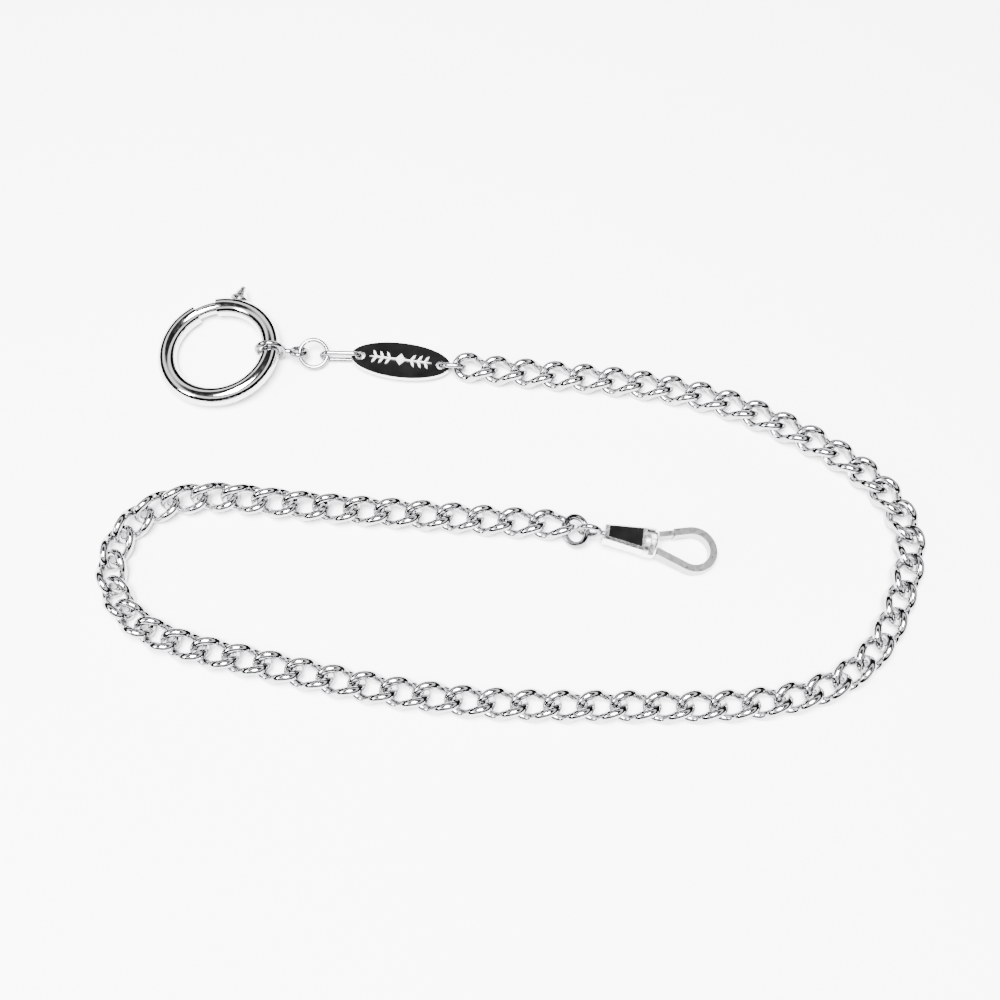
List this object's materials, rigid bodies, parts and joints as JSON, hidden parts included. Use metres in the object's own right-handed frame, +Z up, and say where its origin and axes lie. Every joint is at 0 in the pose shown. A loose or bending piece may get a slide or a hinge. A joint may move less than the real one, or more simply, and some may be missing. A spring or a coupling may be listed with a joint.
{
  "type": "pocket watch chain",
  "caption": "Pocket watch chain of twisted curb links with a spring ring, a figure-eight link, an oval enamelled plate between oval links, and a swivel clasp with a sprung gate.",
  "frame": {"origin": "on the table, under the middle of the laid-out chain's bounding box", "axes": "+X along the strands from the spring ring towards the right-hand bend, +Y from the near strand to the ring and plate, +Z up"},
  "size_m": [0.1454, 0.0859, 0.0066],
  "materials": {
    "polished_metal": "polished silver-tone plating",
    "black_enamel": "gloss black enamel",
    "spring_steel": "plain drawn spring steel"
  },
  "bodies": {
    "curb_01_02": {"curb_link_01_02": "polished_metal"},
    "curb_03_04": {"curb_link_03_04": "polished_metal"},
    "curb_05_06": {"curb_link_05_06": "polished_metal"},
    "curb_07_08": {"curb_link_07_08": "polished_metal"},
    "curb_09_10": {"curb_link_09_10": "polished_metal"},
    "curb_11_12": {"curb_link_11_12": "polished_metal"},
    "curb_13_14": {"curb_link_13_14": "polished_metal"},
    "curb_15": {"curb_link_15": "polished_metal"},
    "curb_16": {"curb_link_16": "polished_metal"},
    "curb_17": {"curb_link_17": "polished_metal"},
    "curb_18": {"curb_link_18": "polished_metal"},
    "curb_19": {"curb_link_19": "polished_metal"},
    "curb_20": {"curb_link_20": "polished_metal"},
    "curb_21_22": {"curb_link_21_22": "polished_metal"},
    "curb_23_24": {"curb_link_23_24": "polished_metal"},
    "curb_25_26": {"curb_link_25_26": "polished_metal"},
    "curb_27_28": {"curb_link_27_28": "polished_metal"},
    "curb_29_30": {"curb_link_29_30": "polished_metal"},
    "curb_31_32": {"curb_link_31_32": "polished_metal"},
    "curb_33_34": {"curb_link_33_34": "polished_metal"},
    "curb_35_36": {"curb_link_35_36": "polished_metal"},
    "curb_37_38": {"curb_link_37_38": "polished_metal"},
    "curb_39_40": {"curb_link_39_40": "polished_metal"},
    "curb_41_42": {"curb_link_41_42": "polished_metal"},
    "curb_43_44": {"curb_link_43_44": "polished_metal"},
    "curb_45": {"curb_link_45": "polished_metal"},
    "curb_46": {"curb_link_46": "polished_metal"},
    "curb_47": {"curb_link_47": "polished_metal"},
    "curb_48": {"curb_link_48": "polished_metal"},
    "curb_49": {"curb_link_49": "polished_metal"},
    "curb_50": {"curb_link_50": "polished_metal"},
    "curb_51": {"curb_link_51": "polished_metal"},
    "curb_52": {"curb_link_52": "polished_metal"},
    "curb_53_54": {"curb_link_53_54": "polished_metal"},
    "curb_55_56": {"curb_link_55_56": "polished_metal"},
    "curb_57_58": {"curb_link_57_58": "polished_metal"},
    "curb_59_60": {"curb_link_59_60": "polished_metal"},
    "curb_61_62": {"curb_link_61_62": "polished_metal"},
    "curb_63_64": {"curb_link_63_64": "polished_metal"},
    "right_plate_link": {"right_plate_link": "polished_metal"},
    "plate": {"oval_plate": "polished_metal", "plate_enamel": "black_enamel", "plate_ornament": "polished_metal"},
    "left_plate_link": {"left_plate_link": "polished_metal"},
    "round_jump_ring": {"round_jump_ring": "polished_metal"},
    "figure_eight_link": {"figure_eight_link": "polished_metal"},
    "ring_shell": {"ring_shell": "polished_metal", "spring_stop": "polished_metal", "bolt_spring": "spring_steel"},
    "ring_bolt": {"ring_bolt": "polished_metal", "bolt_knob": "polished_metal"},
    "end_jump_ring": {"end_jump_ring": "polished_metal"},
    "swivel_eye": {"swivel_eye": "polished_metal"},
    "clasp": {"clasp_body": "polished_metal", "clasp_enamel": "black_enamel", "clasp_collar": "polished_metal", "clasp_hook": "polished_metal", "gate_pin": "polished_metal", "gate_spring": "spring_steel"},
    "clasp_gate": {"clasp_gate": "polished_metal"}
  },
  "joints": [
    {"name": "bolt_slide", "type": "hinge", "parent": "ring_shell", "child": "ring_bolt", "pos_m": [-0.0554, 0.0286, 0.00262], "axis": [0.0872, 0, -0.9962], "range_deg": [0, 31], "stiffness_Nm_per_rad": 0.02, "springref_deg": -28.65, "deforming": ["bolt_spring"]},
    {"name": "gate_swing", "type": "hinge", "parent": "clasp", "child": "clasp_gate", "pos_m": [0.02481, -0.00955, 0.00267], "axis": [-0.1462, 0.0218, -0.989], "range_deg": [0, 32], "stiffness_Nm_per_rad": 0.001, "springref_deg": -28.65},
    {"name": "clasp_swivel", "type": "hinge", "parent": "swivel_eye", "child": "clasp", "pos_m": [0.0159, -0.00961, 0.00399], "axis": [0.9782, -0.1462, -0.1478], "continuous": true},
    {"name": "swivel_eye_swing", "type": "hinge", "parent": "end_jump_ring", "child": "swivel_eye", "pos_m": [0.01302, -0.0092, 0.00421], "axis": [-0.0738, 0.8772, 0.4743], "range_deg": [-40, 40]},
    {"name": "end_ring_swing", "type": "hinge", "parent": "curb_63_64", "child": "end_jump_ring", "pos_m": [0.0108, -0.0073, 0.00201], "axis": [0.0336, 0.641, -0.7668], "range_deg": [-45, 25]},
    {"name": "spring_ring_swing", "type": "hinge", "parent": "figure_eight_link", "child": "ring_shell", "pos_m": [-0.04549, 0.02825, 0.00348], "axis": [0.0348, 0.9994, 0.003], "range_deg": [-60, 60]},
    {"name": "figure_eight_swing", "type": "hinge", "parent": "round_jump_ring", "child": "figure_eight_link", "pos_m": [-0.04004, 0.02814, 0.00284], "axis": [0.0771, 0.8829, 0.4631], "range_deg": [-15, 50]},
    {"name": "jump_ring_swing", "type": "hinge", "parent": "left_plate_link", "child": "round_jump_ring", "pos_m": [-0.03492, 0.02814, 0.00198], "axis": [0.0771, 0.8829, 0.4631], "range_deg": [-45, 45]},
    {"name": "left_plate_link_swing", "type": "hinge", "parent": "plate", "child": "left_plate_link", "pos_m": [-0.0301, 0.02784, 0.0018], "axis": [-0.0244, -0.998, -0.0576], "range_deg": [-45, 45]},
    {"name": "plate_swing", "type": "hinge", "parent": "right_plate_link", "child": "plate", "pos_m": [-0.01185, 0.02564, 0.00187], "axis": [0.0532, 0.923, 0.3811], "range_deg": [-25, 35]},
    {"name": "right_plate_link_swing", "type": "hinge", "parent": "curb_01_02", "child": "right_plate_link", "pos_m": [-0.01053, 0.02569, 0.00201], "axis": [0.0862, 0.637, 0.766], "range_deg": [-20, 35]},
    {"name": "curb_swing_48", "type": "hinge", "parent": "curb_47", "child": "curb_48", "pos_m": [-0.07006, -0.0179, 0.00206], "axis": [0.5808, 0.3364, 0.7413], "range_deg": [-20, 20]},
    {"name": "curb_swing_49", "type": "hinge", "parent": "curb_48", "child": "curb_49", "pos_m": [-0.07041, -0.01277, 0.00231], "axis": [-0.783, -0.1135, -0.6115], "range_deg": [-20, 14]},
    {"name": "curb_swing_50", "type": "hinge", "parent": "curb_49", "child": "curb_50", "pos_m": [-0.06842, -0.00804, 0.0025], "axis": [-0.8426, 0.259, -0.4722], "range_deg": [-20, 12]},
    {"name": "curb_swing_51", "type": "hinge", "parent": "curb_50", "child": "curb_51", "pos_m": [-0.06481, -0.00436, 0.00262], "axis": [0.7203, -0.5944, 0.3577], "range_deg": [-12, 20]},
    {"name": "curb_swing_52", "type": "hinge", "parent": "curb_51", "child": "curb_52", "pos_m": [-0.06004, -0.00238, 0.00268], "axis": [0.4444, -0.8465, 0.2932], "range_deg": [-20, 20]},
    {"name": "curb_swing_16", "type": "hinge", "parent": "curb_17", "child": "curb_16", "pos_m": [0.06933, -0.00499, 0.00201], "axis": [0.5531, 0.3276, -0.766], "range_deg": [-20, 20]},
    {"name": "curb_swing_17", "type": "hinge", "parent": "curb_18", "child": "curb_17", "pos_m": [0.07032, -0.01012, 0.00201], "axis": [0.6234, 0.1566, -0.766], "range_deg": [-20, 20]},
    {"name": "curb_swing_18", "type": "hinge", "parent": "curb_19", "child": "curb_18", "pos_m": [0.0695, -0.01524, 0.00201], "axis": [0.64, -0.0595, -0.766], "range_deg": [-8, 20]},
    {"name": "curb_swing_19", "type": "hinge", "parent": "curb_20", "child": "curb_19", "pos_m": [0.06806, -0.01831, 0.00201], "axis": [0.5869, -0.262, 0.766], "range_deg": [-20, 10]},
    {"name": "curb_swing_33_34", "type": "hinge", "parent": "curb_31_32", "child": "curb_33_34", "pos_m": [0.0056, -0.04001, 0.00201], "axis": [0.0065, 0.6427, 0.7661], "range_deg": [-20, 20]},
    {"name": "curb_swing_35_36", "type": "hinge", "parent": "curb_33_34", "child": "curb_35_36", "pos_m": [-0.00355, -0.03964, 0.00201], "axis": [-0.0596, -0.6399, 0.7661], "range_deg": [-20, 20]},
    {"name": "curb_swing_37_38", "type": "hinge", "parent": "curb_35_36", "child": "curb_37_38", "pos_m": [-0.01629, -0.03824, 0.00201], "axis": [0.0804, 0.6379, 0.7659], "range_deg": [-20, 20]},
    {"name": "curb_swing_39_40", "type": "hinge", "parent": "curb_37_38", "child": "curb_39_40", "pos_m": [-0.02531, -0.03667, 0.00201], "axis": [-0.1331, -0.6298, 0.7653], "range_deg": [-20, 20]},
    {"name": "curb_swing_41_42", "type": "hinge", "parent": "curb_39_40", "child": "curb_41_42", "pos_m": [-0.03785, -0.03393, 0.00202], "axis": [-0.1401, -0.6207, -0.7714], "range_deg": [-20, 20]},
    {"name": "curb_swing_43_44", "type": "hinge", "parent": "curb_41_42", "child": "curb_43_44", "pos_m": [-0.04686, -0.03192, 0.00219], "axis": [0.1698, 0.7125, -0.6808], "range_deg": [-20, 20]},
    {"name": "curb_swing_45", "type": "hinge", "parent": "curb_43_44", "child": "curb_45", "pos_m": [-0.05917, -0.02854, 0.00225], "axis": [0.1521, 0.4811, 0.8634], "range_deg": [-20, 20]},
    {"name": "curb_swing_46", "type": "hinge", "parent": "curb_45", "child": "curb_46", "pos_m": [-0.06222, -0.02733, 0.00216], "axis": [0.467, 0.5435, -0.6975], "range_deg": [-20, 20]},
    {"name": "curb_swing_47", "type": "hinge", "parent": "curb_46", "child": "curb_47", "pos_m": [-0.06778, -0.02255, 0.00216], "axis": [-0.3666, -0.4266, -0.8268], "range_deg": [-20, 16]},
    {"name": "curb_swing_53_54", "type": "hinge", "parent": "curb_52", "child": "curb_53_54", "pos_m": [-0.05484, -0.00174, 0.00269], "axis": [0.1826, -0.9416, 0.2829], "range_deg": [-20, 20]},
    {"name": "curb_swing_55_56", "type": "hinge", "parent": "curb_53_54", "child": "curb_55_56", "pos_m": [-0.04597, -0.00257, 0.00256], "axis": [0.0315, 0.2607, 0.9649], "range_deg": [-20, 20]},
    {"name": "curb_swing_57_58", "type": "hinge", "parent": "curb_55_56", "child": "curb_57_58", "pos_m": [-0.03322, -0.004, 0.00248], "axis": [-0.0903, -0.8679, 0.4885], "range_deg": [-20, 20]},
    {"name": "curb_swing_59_60", "type": "hinge", "parent": "curb_57_58", "child": "curb_59_60", "pos_m": [-0.02402, -0.00473, 0.00226], "axis": [-0.0366, -0.4992, -0.8657], "range_deg": [-20, 20]},
    {"name": "curb_swing_61_62", "type": "hinge", "parent": "curb_59_60", "child": "curb_61_62", "pos_m": [-0.01121, -0.0057, 0.00218], "axis": [-0.058, -0.7282, 0.6829], "range_deg": [-20, 20]},
    {"name": "curb_swing_63_64", "type": "hinge", "parent": "curb_61_62", "child": "curb_63_64", "pos_m": [-0.00201, -0.0065, 0.00202], "axis": [0.0454, 0.6349, 0.7713], "range_deg": [-20, 20]},
    {"name": "curb_swing_29_30", "type": "hinge", "parent": "curb_31_32", "child": "curb_29_30", "pos_m": [0.01845, -0.04009, 0.00201], "axis": [-0.002, -0.6428, 0.766], "range_deg": [-20, 20]},
    {"name": "curb_swing_27_28", "type": "hinge", "parent": "curb_29_30", "child": "curb_27_28", "pos_m": [0.02768, -0.04019, 0.00201], "axis": [-0.0113, 0.6427, 0.766], "range_deg": [-20, 20]},
    {"name": "curb_swing_25_26", "type": "hinge", "parent": "curb_27_28", "child": "curb_25_26", "pos_m": [0.04046, -0.03968, 0.00201], "axis": [0.0417, -0.6414, 0.766], "range_deg": [-20, 20]},
    {"name": "curb_swing_23_24", "type": "hinge", "parent": "curb_25_26", "child": "curb_23_24", "pos_m": [0.04919, -0.03819, 0.00201], "axis": [-0.2558, 0.5897, 0.766], "range_deg": [-20, 20]},
    {"name": "curb_swing_21_22", "type": "hinge", "parent": "curb_23_24", "child": "curb_21_22", "pos_m": [0.06012, -0.03204, 0.00201], "axis": [0.3714, -0.5246, 0.766], "range_deg": [-20, 20]},
    {"name": "curb_swing_20", "type": "hinge", "parent": "curb_21_22", "child": "curb_20", "pos_m": [0.066, -0.0233, 0.00201], "axis": [0.5543, -0.3255, 0.766], "range_deg": [-20, 20]},
    {"name": "curb_swing_15", "type": "hinge", "parent": "curb_16", "child": "curb_15", "pos_m": [0.0656, 0.00132, 0.00201], "axis": [0.5531, 0.3276, 0.766], "range_deg": [-20, 20]},
    {"name": "curb_swing_13_14", "type": "hinge", "parent": "curb_15", "child": "curb_13_14", "pos_m": [0.0632, 0.00361, 0.00201], "axis": [-0.4015, -0.502, 0.766], "range_deg": [-20, 20]},
    {"name": "curb_swing_11_12", "type": "hinge", "parent": "curb_13_14", "child": "curb_11_12", "pos_m": [0.05289, 0.01107, 0.00201], "axis": [-0.3519, -0.5379, -0.766], "range_deg": [-20, 20]},
    {"name": "curb_swing_09_10", "type": "hinge", "parent": "curb_11_12", "child": "curb_09_10", "pos_m": [0.04493, 0.01534, 0.00201], "axis": [0.2476, 0.5932, -0.766], "range_deg": [-20, 20]},
    {"name": "curb_swing_07_08", "type": "hinge", "parent": "curb_09_10", "child": "curb_07_08", "pos_m": [0.03298, 0.01977, 0.00201], "axis": [-0.1983, -0.6114, -0.766], "range_deg": [-20, 20]},
    {"name": "curb_swing_05_06", "type": "hinge", "parent": "curb_07_08", "child": "curb_05_06", "pos_m": [0.02412, 0.02159, 0.00201], "axis": [0.0886, 0.6367, -0.766], "range_deg": [-20, 20]},
    {"name": "curb_swing_03_04", "type": "hinge", "parent": "curb_05_06", "child": "curb_03_04", "pos_m": [0.01139, 0.0232, 0.00201], "axis": [0.0733, 0.6386, 0.766], "range_deg": [-20, 20]},
    {"name": "curb_swing_01_02", "type": "hinge", "parent": "curb_03_04", "child": "curb_01_02", "pos_m": [0.0022, 0.02411, 0.00201], "axis": [0.0725, 0.6387, -0.766], "range_deg": [-20, 20]}
  ]
}
